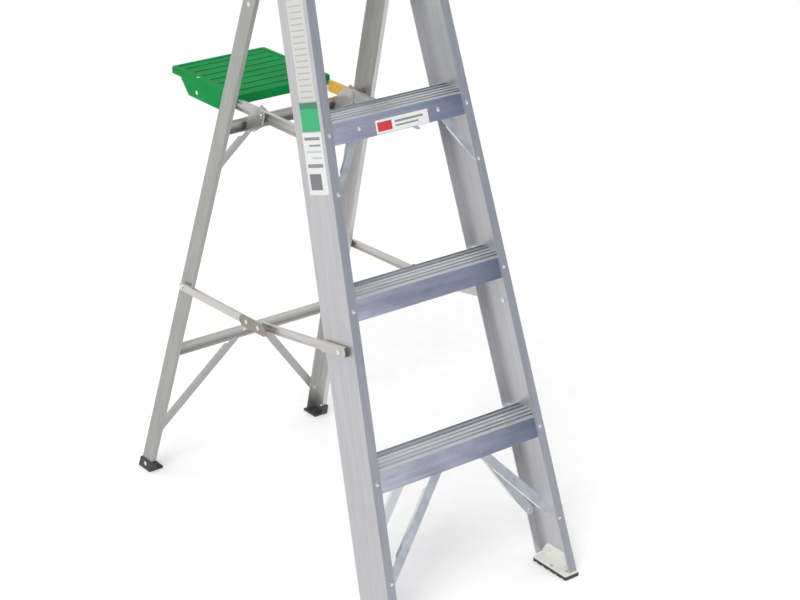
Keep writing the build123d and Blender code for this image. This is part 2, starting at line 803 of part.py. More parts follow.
# ---------------------------------------------------------------- rear feet
shoe_outer = rear_half_width + shoe_wall
with BuildPart() as shoe:
    with BuildSketch(leg_plane.offset(-leg_depth)):
        with Locations((shoe_wall, -shoe_wall)):
            Rectangle(shoe_wall + 12.0, leg_depth + 2 * shoe_wall, align=(Align.MAX, Align.MIN))
        Rectangle(leg_flange, leg_depth, align=(Align.MAX, Align.MIN), mode=Mode.SUBTRACT)
    extrude(amount=2 * leg_depth + shoe_height)
    split(bisect_by=Plane.XY, keep=Keep.TOP)
    split(bisect_by=Plane.XY.offset(shoe_height), keep=Keep.BOTTOM)
    with BuildSketch():
        with Locations((shoe_outer, rear_y - shoe_wall)):
            Rectangle(shoe_toe, shoe_rear_run - rear_run + shoe_wall, align=(Align.MAX, Align.MIN))
    extrude(amount=shoe_sole)
    drill_rivets(shoe_rivet_spots)
save_pair(shoe.part, "rear_foot")

save_rivets(
    "rear_rivets",
    [
        (shoe_rivet_spots, shoe_wall + leg_wall, rivet_tail_height),
        (bar_rivet_spots, 2 * leg_wall, rivet_tail_height),
        (diagonal_low_spots + diagonal_high_spots, leg_wall + brace_wall, rivet_tail_height),
        (strap_rivet_spots, leg_wall + strap_wall, rivet_tail_height),
        (tray_bracket_spots, cheek_wall + leg_wall, rivet_tail_height),
    ],
)

# ---------------------------------------------------------------- spreaders
front_link_inner = front_half(front_pivot_along) + 1.8
front_link_outer = front_link_inner + spreader_depth
sleeve_outer = front_link_outer + sleeve_wall
rear_link_inner = rear_half(rear_pivot_along) + 1.8
rear_link_outer = rear_link_inner + spreader_depth


def link_plane(across, start, end, offset=0.0):
    """Plane at the middle of a link, with x towards its end and z to +X."""
    run = (end[0] - start[0], end[1] - start[1])
    share = offset / hypot(*run)
    middle = ((start[0] + end[0]) / 2 + run[0] * share, (start[1] + end[1]) / 2 + run[1] * share)
    return Plane(origin=(across, middle[0], middle[1]), x_dir=(0, run[0], run[1]), z_dir=(1, 0, 0))


front_link = hypot(centre_hinge[0] - front_pivot[0], centre_hinge[1] - front_pivot[1])
rear_link = hypot(centre_hinge[0] - rear_pivot[0], centre_hinge[1] - rear_pivot[1])
groove_height = spreader_height - 2 * spreader_wall

with BuildPart() as front_bar:
    with BuildSketch(link_plane(front_link_inner, front_pivot, centre_hinge)):
        SlotOverall(front_link + spreader_height, spreader_height)
    extrude(amount=spreader_depth)
    with BuildSketch(link_plane(front_link_inner + spreader_wall, front_pivot, centre_hinge)):
        Rectangle(front_link + 2 * spreader_height, groove_height)
    extrude(amount=spreader_depth, mode=Mode.SUBTRACT)
    with Locations(cross_spot(front_link_inner, front_pivot)):
        Cylinder(spreader_pin_radius + pivot_clearance, 12.0, mode=Mode.SUBTRACT)
save_pair(front_bar.part, "spreader_front_bar")

sleeve_offset = sleeve_length / 2 - 18.0 - front_link / 2
with BuildPart() as sleeve:
    with BuildSketch(link_plane(front_link_inner, front_pivot, centre_hinge, sleeve_offset)):
        SlotOverall(sleeve_length, spreader_height + 2 * sleeve_wall + 0.2)
    extrude(amount=sleeve_outer - front_link_inner)
    with BuildSketch(link_plane(front_link_inner, front_pivot, centre_hinge, sleeve_offset)):
        Rectangle(2 * sleeve_length, spreader_height + 0.2)
    extrude(amount=spreader_depth, mode=Mode.SUBTRACT)
    with Locations(cross_spot(sleeve_outer, front_pivot)):
        Cylinder(spreader_pin_radius + pivot_clearance, 12.0, mode=Mode.SUBTRACT)
save_pair(sleeve.part, "spreader_sleeve")

rear_bar_gap = 14.0         # from the centre hinge to the tip of the rear bar
rear_bar_span = rear_link + spreader_height / 2 - rear_bar_gap
rear_bar_offset = -(rear_bar_gap + spreader_height / 2) / 2
with BuildPart() as rear_link_bar:
    with BuildSketch(link_plane(rear_link_inner, rear_pivot, centre_hinge, rear_bar_offset)):
        SlotOverall(rear_bar_span, spreader_height)
    extrude(amount=spreader_depth)
    with BuildSketch(link_plane(rear_link_inner, rear_pivot, centre_hinge, rear_bar_offset)):
        Rectangle(2 * rear_bar_span, groove_height)
    extrude(amount=spreader_depth - spreader_wall, mode=Mode.SUBTRACT)
    with Locations(cross_spot(rear_link_inner, rear_pivot)):
        Cylinder(spreader_pin_radius + pivot_clearance, 20.0, mode=Mode.SUBTRACT)
    with Locations(link_plane(rear_link_outer, rear_pivot, centre_hinge, rear_link / 2 - centre_rivet_pitch)):
        Cylinder(rivet_radius + hole_clearance, 12.0, mode=Mode.SUBTRACT)
save_pair(rear_link_bar.part, "spreader_rear_bar")

plate_length = centre_plate_front + centre_plate_rear
plate_offset = rear_link / 2 + (centre_plate_front - centre_plate_rear) / 2
fixed_rivet = link_plane(rear_link_outer + centre_plate_wall, rear_pivot, centre_hinge, rear_link / 2 - centre_rivet_pitch)
centre_rivet = cross_spot(rear_link_outer + centre_plate_wall, centre_hinge)
stub_start = front_link_outer + plate_clearance
with BuildPart() as centre_plate:
    with BuildSketch(link_plane(rear_link_outer, rear_pivot, centre_hinge, plate_offset)):
        SlotOverall(plate_length, centre_plate_height)
    extrude(amount=centre_plate_wall)
    with BuildSketch(cross_spot(stub_start, centre_hinge)):
        Circle(5.0)
    extrude(amount=rear_link_outer - stub_start)
    drill([fixed_rivet, centre_rivet], rivet_radius + hole_clearance)
save_pair(centre_plate.part, "spreader_centre_plate")

rivet_fixed = rivet_blank(centre_plate_wall + spreader_wall, rivet_tail_height)
rivet_centre = rivet_blank(rear_link_outer + centre_plate_wall - stub_start, 0)
with BuildPart() as plate_rivets:
    with Locations(fixed_rivet):
        add(rivet_fixed)
    with Locations(centre_rivet):
        add(rivet_centre)
save_pair(plate_rivets.part, "spreader_plate_rivets")

front_web = front_half(front_pivot_along)
with BuildPart() as front_pins:
    add(
        turned(
            cross_spot(0, front_pivot),
            [
                (spreader_pin_radius + 1.5, front_web - rail_wall - 2.2, front_web - rail_wall - 0.5),
                (spreader_pin_radius, front_web - rail_wall - 2.2, sleeve_outer + 1.0),
                (spreader_pin_radius + 3.5, front_web + 0.5, front_link_inner - plate_clearance),
                (spreader_pin_radius + 2.5, sleeve_outer + plate_clearance, sleeve_outer + 2.2),
            ],
        )
    )
    mirror(about=Plane.YZ)
save(front_pins.part, "spreader_front_pivots")

rear_web = rear_half(rear_pivot_along)
with BuildPart() as rear_pins:
    add(
        turned(
            cross_spot(0, rear_pivot),
            [
                (spreader_pin_radius + 1.5, rear_web - leg_wall - 2.2, rear_web - leg_wall - 0.5),
                (spreader_pin_radius, rear_web - leg_wall - 2.2, rear_link_outer + 1.0),
                (spreader_pin_radius + 3.0, rear_web + 0.5, rear_link_inner - plate_clearance),
                (spreader_pin_radius + 2.5, rear_link_outer + plate_clearance, rear_link_outer + 2.2),
            ],
        )
    )
    mirror(about=Plane.YZ)
save(rear_pins.part, "spreader_rear_pivots")

# ---------------------------------------------------------------- pail shelf
arm_low = arm_z - arm_height / 2
arm_top = arm_z + arm_height / 2
arm_front = arm_pivot[0] - arm_reach
tray_front = arm_pivot[0] + tray_gap
tray_rear = tray_front + tray_length
arm_rear = tray_rear - arm_tail
cheek_inner = arm_width / 2 + cheek_gap
cheek_outer = cheek_inner + cheek_wall
stop_height = tread_height[-1] - skirt_height - 0.6
stop_y = slope_y(step_depth - step_wall / 2, stop_height)
shelf_rivet_spots = [
    Plane(origin=(arm_half_gap + 1.4, place, tray_top - tray_recess)) for place in (tray_front + 30.0, arm_rear - 30.0)
]

with BuildPart() as shelf_bracket:
    with BuildSketch(profile(rear_plane, arm_half_gap)):
        with BuildLine():
            Polyline(
                (-24.0, 848.0),
                (-24.0, 872.0),
                (4.0, 872.0),
                (bar_back - rear_bar_depth, 838.0),
                (bar_back - rear_bar_depth, 806.0),
                (12.0, 806.0),
                close=True,
            )
        make_face()
        fillet(vertices().group_by(Axis.X)[0], 6.0)
    extrude(amount=cheek_outer, both=True)
    with BuildSketch(profile(rear_plane, arm_half_gap)):
        with Locations((0, upper_bar_along)):
            Rectangle(4 * leg_depth, 8 * leg_depth)
    extrude(amount=cheek_inner, both=True, mode=Mode.SUBTRACT)
    with BuildSketch(profile(rear_plane, arm_half_gap)):
        with Locations((bar_back - rear_bar_depth, upper_bar_along + 2.0)):
            Rectangle(cheek_wall, rear_bar_height - 2.0 + cheek_wall, align=(Align.MAX, Align.MIN))
        with Locations((bar_back - rear_bar_depth - cheek_wall, upper_bar_along + rear_bar_height)):
            Rectangle(rear_bar_depth + cheek_wall - 1.0, cheek_wall, align=(Align.MIN, Align.MIN))
    extrude(amount=cheek_outer, both=True)
    drill_rivets(tray_bracket_spots)
    drill([cross_spot(arm_half_gap, arm_pivot)], arm_pin_radius + hole_clearance)
save_pair(shelf_bracket.part, "shelf_bracket")

with BuildPart() as shelf_pins:
    add(
        turned(
            cross_spot(arm_half_gap, arm_pivot),
            [
                (arm_pin_radius, -cheek_outer - 1.5, cheek_outer + 1.0),
                (arm_pin_radius + 2.2, cheek_outer + 0.1, cheek_outer + 1.8),
                (arm_pin_radius + 1.4, -cheek_outer - 1.5, -cheek_outer - 0.1),
            ],
        )
    )
    mirror(about=Plane.YZ)
save(shelf_pins.part, "shelf_pivot_pins")

with BuildPart() as shelf_arm:
    with BuildSketch(side_plane.offset(arm_half_gap - arm_width / 2)):
        with BuildLine():
            Polyline(
                (arm_front, arm_low),
                (arm_rear, arm_low),
                (arm_rear, arm_top),
                (arm_front + 24.0, arm_top),
                (stop_y + 9.0, stop_height),
                (stop_y - 9.0, stop_height),
                (stop_y - 9.0, stop_height - 5.0),
                (arm_front - 4.0, arm_top - 3.0),
                close=True,
            )
        make_face()
    extrude(amount=arm_width)
    with BuildSketch(side_plane.offset(arm_half_gap - arm_width / 2 + arm_wall)):
        with Locations((arm_front, arm_low + arm_wall)):
            Rectangle(3 * (arm_rear - arm_front), arm_height - 2 * arm_wall, align=(Align.CENTER, Align.MIN))
        with BuildLine():
            Polyline(
                (arm_front - arm_height, arm_low - 1.0),
                (arm_front + 27.0, arm_top - arm_wall),
                (stop_y + 12.0, stop_height - arm_wall),
                (stop_y - 12.0, stop_height - arm_wall),
                close=True,
            )
        make_face()
    extrude(amount=arm_width, mode=Mode.SUBTRACT)
    drill_rivets(shelf_rivet_spots, 15.0)
    with Locations(cross_spot(arm_half_gap, arm_pivot)):
        Cylinder(arm_pin_radius + pivot_clearance, 20.0, mode=Mode.SUBTRACT)
save_pair(shelf_arm.part, "shelf_arm")

tray_plate_under = tray_top - tray_wall
tray_low = tray_top - 42.5
with BuildPart() as tray:
    with BuildSketch(side_plane):
        with BuildLine():
            Polyline(
                (tray_front, tray_top),
                (tray_rear, tray_top),
                (tray_rear, tray_top - 12.5),
                (tray_rear - 36.0, tray_top - 12.5),
                (tray_rear - 64.0, tray_low),
                (tray_front + 56.0, tray_low),
                (tray_front + 50.0, tray_top - 31.0),
                (tray_front, tray_top - 18.0),
                close=True,
            )
        make_face()
    extrude(amount=tray_half_width, both=True)
    corners = edges().filter_by(Axis.Z)
    fillet(corners, tray_corner)
    fillet(faces().sort_by(Axis.Z)[-1].outer_wire().edges(), 2.0)
    with BuildSketch(Plane.XY.offset(tray_low)):
        with Locations((0, (tray_front + tray_rear) / 2)):
            RectangleRounded(
                2 * (tray_half_width - tray_skirt_wall),
                tray_length - 2 * tray_skirt_wall,
                tray_corner - tray_skirt_wall,
            )
    extrude(amount=tray_plate_under - tray_low, mode=Mode.SUBTRACT)
    with BuildSketch(Plane.XY.offset(tray_plate_under)):
        with Locations((-arm_half_gap, tray_front), (arm_half_gap, tray_front)):
            Rectangle(arm_width, tray_length - arm_tail, align=(Align.CENTER, Align.MIN))
    extrude(amount=-tray_pad)
    with BuildSketch(Plane.XY.offset(arm_top)):
        with Locations((-arm_half_gap, tray_front), (arm_half_gap, tray_front)):
            Rectangle(arm_width + 1.0, 4 * tray_skirt_wall)
    extrude(amount=-arm_height, mode=Mode.SUBTRACT)
    with BuildSketch(Plane.XY.offset(tray_top)):
        with Locations((0, (tray_front + tray_rear) / 2)):
            RectangleRounded(2 * (tray_half_width - tray_rim), tray_length - 2 * tray_rim, tray_corner)
            with GridLocations(1, tray_length / (tray_rib_count + 1), 1, tray_rib_count):
                Rectangle(2 * (tray_half_width - 2 * tray_rim), tray_rib_width, mode=Mode.SUBTRACT)
    extrude(amount=-tray_recess, mode=Mode.SUBTRACT)
    with BuildPart(mode=Mode.PRIVATE) as bores:
        with Locations(*shelf_rivet_spots):
            Cylinder(rivet_radius + hole_clearance, 30.0)
            Cylinder(rivet_head_radius + 1.5, 2 * tray_recess)
        mirror(about=Plane.YZ)
    add(bores.part, mode=Mode.SUBTRACT)
    with Locations(cross_spot(0, (tray_front + 141.0, tray_top - 30.5))):
        Cylinder(tray_hole_radius, 3 * tray_half_width, mode=Mode.SUBTRACT)
save(tray.part, "shelf_tray")

save_rivets(
    "shelf_rivets",
    [(shelf_rivet_spots, tray_wall - tray_recess + tray_pad + arm_wall, rivet_tail_height)],
)
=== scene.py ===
import math

import bpy
import numpy as np
from mathutils import Matrix, Vector


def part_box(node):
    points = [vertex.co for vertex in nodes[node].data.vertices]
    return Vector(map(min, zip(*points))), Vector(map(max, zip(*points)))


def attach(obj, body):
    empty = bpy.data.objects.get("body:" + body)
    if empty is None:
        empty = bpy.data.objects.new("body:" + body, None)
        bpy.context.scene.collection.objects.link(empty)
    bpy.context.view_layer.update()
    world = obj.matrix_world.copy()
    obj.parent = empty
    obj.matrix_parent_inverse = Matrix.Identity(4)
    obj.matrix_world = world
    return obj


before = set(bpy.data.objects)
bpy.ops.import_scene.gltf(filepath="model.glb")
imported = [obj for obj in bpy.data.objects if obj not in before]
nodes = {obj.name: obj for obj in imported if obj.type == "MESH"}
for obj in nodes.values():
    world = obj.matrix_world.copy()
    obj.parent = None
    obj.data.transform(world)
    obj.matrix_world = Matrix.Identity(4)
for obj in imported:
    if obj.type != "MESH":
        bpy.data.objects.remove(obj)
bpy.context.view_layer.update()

# ------------------------------------------------------------------ the two sloping sections
FRONT_SLOPE = math.radians(17.25)
REAR_SLOPE = math.radians(17.8)
FRONT_TAPER = math.radians(3.3)
FRONT_HALF = 0.212
FRONT_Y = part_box("front_foot_pad_right")[0][1] + 0.003

# ------------------------------------------------------------------ stickers: height and rolled edge
STICKER_GAP = 0.00003
STICKER_RISE = 0.00025
STICKER_ROLL = 0.03


# ------------------------------------------------------------------ shader helpers
def new_material(name):
    """An empty node material with its shader and its object coordinates."""
    material = bpy.data.materials.new(name)
    material.use_nodes = True
    tree = material.node_tree
    tree.nodes.clear()
    out = tree.nodes.new("ShaderNodeOutputMaterial")
    shader = tree.nodes.new("ShaderNodeBsdfPrincipled")
    tree.links.new(shader.outputs["BSDF"], out.inputs["Surface"])
    place = tree.nodes.new("ShaderNodeTexCoord")
    return material, tree, shader, place.outputs["Object"]


def mapping(tree, source, scale, turn=(0.0, 0.0, 0.0)):
    """The coordinates turned, then scaled, so that a texture can be stretched along a piece."""
    for kind, values in (("Rotation", turn), ("Scale", scale)):
        node = tree.nodes.new("ShaderNodeMapping")
        node.vector_type = "POINT"
        node.inputs[kind].default_value = values
        tree.links.new(source, node.inputs["Vector"])
        source = node.outputs["Vector"]
    return source


def noise(tree, vector, scale, detail=4.0, rough=0.5):
    """Smooth random values at a scale, per metre."""
    node = tree.nodes.new("ShaderNodeTexNoise")
    node.inputs["Scale"].default_value = scale
    node.inputs["Detail"].default_value = detail
    node.inputs["Roughness"].default_value = rough
    tree.links.new(vector, node.inputs["Vector"])
    return node.outputs["Fac"]


def ramp(tree, value, stops):
    """Colours along a value from 0 to 1; stops are (position, colour)."""
    node = tree.nodes.new("ShaderNodeValToRGB")
    band = node.color_ramp
    while len(band.elements) < len(stops):
        band.elements.new(0.5)
    for element, (position, colour) in zip(band.elements, stops):
        element.position = position
        element.color = (*colour, 1.0)
    tree.links.new(value, node.inputs["Fac"])
    return node.outputs["Color"]


def spread(tree, value, low, high, start=0.0, end=1.0):
    """The value carried from start..end to low..high."""
    node = tree.nodes.new("ShaderNodeMapRange")
    node.inputs["From Min"].default_value = start
    node.inputs["From Max"].default_value = end
    node.inputs["To Min"].default_value = low
    node.inputs["To Max"].default_value = high
    tree.links.new(value, node.inputs["Value"])
    return node.outputs["Result"]


def mix(tree, share, first, second, blend="MIX"):
    """Two colours mixed by a share, which is a number or a socket."""
    node = tree.nodes.new("ShaderNodeMix")
    node.data_type = "RGBA"
    node.blend_type = blend
    for socket, value in (("Factor", share), ("A", first), ("B", second)):
        target = [s for s in node.inputs if s.name == socket and s.enabled][0]
        if isinstance(value, bpy.types.NodeSocket):
            tree.links.new(value, target)
        elif isinstance(value, tuple):
            target.default_value = (*value, 1.0)
        else:
            target.default_value = value
    return [s for s in node.outputs if s.enabled][0]


def bump(tree, shader, height, distance, strength=1.0):
    """Fine relief on a surface, with its depth in metres."""
    node = tree.nodes.new("ShaderNodeBump")
    node.inputs["Strength"].default_value = strength
    node.inputs["Distance"].default_value = distance
    tree.links.new(height, node.inputs["Height"])
    tree.links.new(node.outputs["Normal"], shader.inputs["Normal"])


def edge_wear(tree):
    """Rises towards 1 on the sharp outer edges of a piece."""
    geometry = tree.nodes.new("ShaderNodeNewGeometry")
    return spread(tree, geometry.outputs["Pointiness"], 0.0, 1.0, 0.52, 0.60)


# ------------------------------------------------------------------ metals
def drawn_metal(name, dark, light, rough, turn, metallic=0.9, scuff=0.35):
    """Extruded aluminium: long die lines along the piece, faint cloudy oxide and a few scuffs.

    The turn carries the length of the piece onto Z.
    """
    material, tree, shader, place = new_material(name)
    drawn = mapping(tree, place, (1.0, 1.0, 0.012), turn)
    lines = noise(tree, drawn, 900.0, 3.0, 0.6)
    broad = noise(tree, drawn, 160.0, 2.0, 0.5)
    cloud = noise(tree, place, 14.0, 5.0, 0.6)
    askew = (turn[0], turn[1] + 0.4, turn[2] + 0.2)
    scratch = noise(tree, mapping(tree, place, (6.0, 1.0, 0.3), askew), 240.0, 6.0, 0.75)
    tone = ramp(tree, broad, [(0.25, dark), (0.75, light)])
    tone = mix(tree, spread(tree, cloud, 0.0, 0.35, 0.45, 0.75), tone, dark)
    tone = mix(tree, spread(tree, scratch, 0.0, scuff, 0.62, 0.72), tone, light)
    tree.links.new(tone, shader.inputs["Base Color"])
    shader.inputs["Metallic"].default_value = metallic
    tree.links.new(spread(tree, lines, rough - 0.08, rough + 0.10, 0.3, 0.7), shader.inputs["Roughness"])
    bump(tree, shader, lines, 0.00006, 0.5)
    return material


def zinc(name, dark, light, rough, grain=60.0):
    """Zinc plate: small soft-edged patches of slightly different sheen, with a blue cast."""
    material, tree, shader, place = new_material(name)
    cells = tree.nodes.new("ShaderNodeTexVoronoi")
    cells.inputs["Scale"].default_value = grain * 4
    tree.links.new(place, cells.inputs["Vector"])
    patches = noise(tree, place, grain, 5.0, 0.6)
    tone = ramp(tree, patches, [(0.3, dark), (0.7, light)])
    tone = mix(tree, spread(tree, cells.outputs["Distance"], 0.0, 0.25, 0.2, 0.6), tone, light)
    tone = mix(tree, spread(tree, edge_wear(tree), 0.0, 0.4), tone, light)
    tree.links.new(tone, shader.inputs["Base Color"])
    shader.inputs["Metallic"].default_value = 0.92
    tree.links.new(spread(tree, patches, rough - 0.07, rough + 0.10, 0.3, 0.7), shader.inputs["Roughness"])
    bump(tree, shader, patches, 0.0001, 0.3)
    return material


def tread_metal(name, dark, light, rough, nose, rear):
    """A step extrusion: die lines across the ladder, painted shade darkening it towards +X, and painted bands of
    reflection and shade on its top, with real dust over them.

    The bands run from the nose, at one Y, to the rear edge, where the painted shade is darkest.
    """
    material, tree, shader, place = new_material(name)
    across = mapping(tree, place, (0.012, 1.0, 1.0))
    lines = noise(tree, across, 700.0, 3.0, 0.6)
    broad = noise(tree, across, 120.0, 2.0, 0.5)
    tarnish = noise(tree, mapping(tree, place, (1.0, 1.0, 3.0)), 9.0, 4.0, 0.55)
    tone = ramp(tree, broad, [(0.3, dark), (0.7, light)])
    tone = mix(tree, spread(tree, tarnish, 0.0, 0.55, 0.42, 0.72), tone, (0.36, 0.40, 0.46))
    geometry = tree.nodes.new("ShaderNodeNewGeometry")
    facing = tree.nodes.new("ShaderNodeSeparateXYZ")
    tree.links.new(geometry.outputs["True Normal"], facing.inputs[0])
    level = spread(tree, facing.outputs["Z"], 0.0, 0.9, 0.7, 0.95)
    where = tree.nodes.new("ShaderNodeSeparateXYZ")
    tree.links.new(place, where.inputs[0])
    # painted shade: the step darkens from its left end towards its right end (+X)
    side = spread(tree, where.outputs["X"], 0.0, 1.0, -0.19, 0.19)
    shade = ramp(tree, side, [(0.0, (1.0, 0.99, 1.0)), (0.45, (0.80, 0.80, 0.86)), (1.0, (0.30, 0.34, 0.44))])
    tone = mix(tree, 1.0, tone, shade, "MULTIPLY")
    # painted reflection and painted shade: lighter and darker bands from the nose back, darkest at the rear
    # edge; real dust is mixed over them below
    band = ramp(
        tree,
        spread(tree, where.outputs["Y"], 0.0, 1.0, nose, rear),
        [
            (0.00, (0.78, 0.79, 0.80)),
            (0.10, (0.70, 0.71, 0.72)),
            (0.18, (0.66, 0.67, 0.66)),
            (0.34, (0.70, 0.71, 0.71)),
            (0.42, (0.80, 0.81, 0.82)),
            (0.62, (0.78, 0.79, 0.80)),
            (0.72, (0.46, 0.47, 0.48)),
            (0.94, (0.36, 0.37, 0.39)),
            (1.00, (0.22, 0.22, 0.23)),
        ],
    )
    dust = noise(tree, mapping(tree, place, (0.35, 1.0, 1.0)), 45.0, 6.0, 0.65)
    band = mix(tree, spread(tree, dust, 0.0, 0.45, 0.5, 0.8), band, (0.34, 0.34, 0.31))
    tone = mix(tree, level, tone, band)
    tree.links.new(tone, shader.inputs["Base Color"])
    shader.inputs["Metallic"].default_value = 0.88
    tree.links.new(spread(tree, lines, rough - 0.08, rough + 0.12, 0.3, 0.7), shader.inputs["Roughness"])
    bump(tree, shader, lines, 0.00006, 0.5)
    return material


def moulding(name, deep, pale, rough):
    """Moulded plastic: a faint flow pattern, fine texture and slightly paler rubbed edges."""
    material, tree, shader, place = new_material(name)
    flow = noise(tree, mapping(tree, place, (1.0, 0.4, 1.0)), 22.0, 5.0, 0.6)
    leather = noise(tree, place, 900.0, 3.0, 0.6)
    tone = ramp(tree, flow, [(0.3, deep), (0.72, pale)])
    tone = mix(tree, spread(tree, edge_wear(tree), 0.0, 0.35), tone, pale)
    tree.links.new(tone, shader.inputs["Base Color"])
    shader.inputs["Specular IOR Level"].default_value = 0.08
    tree.links.new(spread(tree, flow, rough - 0.05, rough + 0.10, 0.3, 0.7), shader.inputs["Roughness"])
    bump(tree, shader, leather, 0.00008, 0.5)
    return material


def rubber(name):
    """Black rubber with a pebbled skin, dusty where it rubs."""
    material, tree, shader, place = new_material(name)
    pebble = noise(tree, place, 700.0, 4.0, 0.6)
    dust = noise(tree, place, 60.0, 6.0, 0.7)
    tone = ramp(tree, dust, [(0.45, (0.012, 0.012, 0.013)), (0.8, (0.06, 0.06, 0.058))])
    tone = mix(tree, spread(tree, edge_wear(tree), 0.0, 0.3), tone, (0.09, 0.09, 0.088))
    tree.links.new(tone, shader.inputs["Base Color"])
    tree.links.new(spread(tree, dust, 0.45, 0.75, 0.3, 0.7), shader.inputs["Roughness"])
    bump(tree, shader, pebble, 0.0002, 0.6)
    return material


def painted_band(metal, name, colour, start, end):
    """The metal with a band of slightly chipped paint between two places along Y."""
    material = metal.copy()
    material.name = name
    tree = material.node_tree
    shader = [node for node in tree.nodes if node.type == "BSDF_PRINCIPLED"][0]
    place = [node for node in tree.nodes if node.type == "TEX_COORD"][0].outputs["Object"]
    bare = shader.inputs["Base Color"].links[0].from_socket
    where = tree.nodes.new("ShaderNodeSeparateXYZ")
    tree.links.new(place, where.inputs[0])
    chips = noise(tree, place, 160.0, 5.0, 0.7)
    inside = spread(tree, where.outputs["Y"], 0.0, 1.0, start, start + 0.002)
    outside = spread(tree, where.outputs["Y"], 1.0, 0.0, end - 0.002, end)
    cover = tree.nodes.new("ShaderNodeMath")
    cover.operation = "MULTIPLY"
    tree.links.new(inside, cover.inputs[0])
    tree.links.new(outside, cover.inputs[1])
    kept = tree.nodes.new("ShaderNodeMath")
    kept.operation = "MULTIPLY"
    tree.links.new(cover.outputs[0], kept.inputs[0])
    tree.links.new(spread(tree, chips, 1.0, 0.0, 0.66, 0.70), kept.inputs[1])
    tree.links.new(mix(tree, kept.outputs[0], bare, colour), shader.inputs["Base Color"])
    tree.links.new(spread(tree, kept.outputs[0], 0.9, 0.0), shader.inputs["Metallic"])
    return material


rail_metal = drawn_metal(
    "rail_aluminium", (0.58, 0.58, 0.60), (0.67, 0.67, 0.69), 0.40, (FRONT_SLOPE, 0.0, 0.0)
)
leg_metal = drawn_metal(
    "leg_aluminium", (0.64, 0.63, 0.62), (0.76, 0.75, 0.73), 0.38, (-REAR_SLOPE, 0.0, 0.0)
)
# painted shade: a darker copy of the leg aluminium for the left rear leg
left_leg_shaded_metal = drawn_metal(
    "left_leg_shaded_aluminium", (0.42, 0.43, 0.41), (0.50, 0.51, 0.48), 0.40, (-REAR_SLOPE, 0.0, 0.0)
)
# painted light: a paler, less metallic copy of the aluminium so that the foot brackets read as brightly lit
foot_lit_metal = drawn_metal(
    "foot_bracket_lit_aluminium", (0.76, 0.77, 0.72), (0.84, 0.85, 0.80), 0.42, (0.0, math.pi / 2, 0.0), 0.3
)
low_bar_metal = drawn_metal(
    "low_bar_aluminium", (0.48, 0.49, 0.46), (0.56, 0.57, 0.54), 0.42, (0.0, math.pi / 2, 0.0), 0.3
)
bar_metal = drawn_metal(
    "bar_aluminium", (0.44, 0.44, 0.42), (0.54, 0.54, 0.52), 0.38, (0.0, math.pi / 2, 0.0)
)
arm_metal = drawn_metal(
    "arm_aluminium", (0.64, 0.63, 0.62), (0.76, 0.75, 0.73), 0.38, (math.pi / 2, 0.0, 0.0)
)
zinc_metal = zinc("zinc_plate", (0.74, 0.77, 0.79), (0.92, 0.95, 0.97), 0.34)
link_metal = drawn_metal(
    "spreader_aluminium", (0.62, 0.60, 0.57), (0.82, 0.80, 0.77), 0.36, (math.pi / 2, 0.0, 0.0)
)
diagonal_metal = zinc("diagonal_plate", (0.38, 0.39, 0.38), (0.52, 0.52, 0.51), 0.34)
dark_metal = zinc("dark_zinc_plate", (0.20, 0.19, 0.15), (0.42, 0.40, 0.33), 0.38)
rivet_metal = zinc("rivet_aluminium", (0.72, 0.73, 0.75), (0.92, 0.93, 0.94), 0.26, 120.0)
cream = moulding("cream_sleeve", (0.38, 0.38, 0.34), (0.47, 0.47, 0.44), 0.50)
green = moulding("green_moulding", (0.001, 0.19, 0.040), (0.003, 0.26, 0.060), 0.46)
black = rubber("black_rubber")

finish_of = {
    "front_rail": rail_metal,
    "rear_leg": leg_metal,
    "rear_leg_left": left_leg_shaded_metal,
    "rear_bar_lower": low_bar_metal,
    "rear_bar": bar_metal,
    "rear_foot": black,
    "rear_diagonal": diagonal_metal,
    "step_rivets": rivet_metal,
    "step_clips": zinc_metal,
    "bottom_step": zinc_metal,
    "top_step": zinc_metal,
    "front_foot_pad": black,
    "front_foot_bracket": foot_lit_metal,
    "top_cap": green,
    "shelf_tray": green,
    "shelf_arm": arm_metal,
    "shelf_bracket": leg_metal,
    "hinge_strap": zinc_metal,
    "spreader_front_bar": link_metal,
    "spreader_rear_bar": link_metal,
    "spreader_sleeve": cream,
    "spreader_centre_plate": dark_metal,
}
for number in (1, 2, 3):
    low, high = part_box(f"step_{number}")
    nose = high[1] - 0.0620
    finish_of[f"step_{number}"] = tread_metal(
        f"step_aluminium_{number}", (0.83, 0.85, 0.92), (0.95, 0.96, 1.0), 0.34, nose, high[1]
    )
finish_of["shelf_arm_right"] = painted_band(
    arm_metal, "arm_with_yellow_band", (0.80, 0.44, 0.02), FRONT_Y + 0.551, FRONT_Y + 0.622
)
for name, piece in nodes.items():
    keys = [key for key in finish_of if name.startswith(key)]
    finish = finish_of[max(keys, key=len)] if keys else rivet_metal
    if "rivets" in name or "pins" in name or "pivots" in name or "bolts" in name:
        finish = rivet_metal
    piece.data.materials.clear()
    piece.data.materials.append(finish)


# ------------------------------------------------------------------ blank stickers
def rail_sticker(name, low, high, front, rear, sheet):
    """A thin sheet on the left rail's outer face: flat, with its edges rolled down onto the metal.

    Two parameters run up the rail from low to high and back from front to rear. The sheet stands 0.28 mm
    off the rail and falls to 0.03 mm at its edge.
    """
    rows = np.linspace(0.0, 1.0, 41)
    columns = np.linspace(0.0, 1.0, 13)
    along, depth = np.meshgrid(rows, columns, indexing="ij")
    border = np.minimum.reduce([along, 1 - along, depth, 1 - depth])
    lift = STICKER_RISE * np.minimum(1.0, border / STICKER_ROLL) + STICKER_GAP
    run = low + along * (high - low)
    back_by = front + depth * (rear - front)
    x = -(FRONT_HALF - run * np.tan(FRONT_TAPER)) - lift
    y = FRONT_Y + run * np.sin(FRONT_SLOPE) + back_by * np.cos(FRONT_SLOPE)
    z = run * np.cos(FRONT_SLOPE) - back_by * np.sin(FRONT_SLOPE)
    return sheet_piece(name, x, y, z, along, depth, sheet)


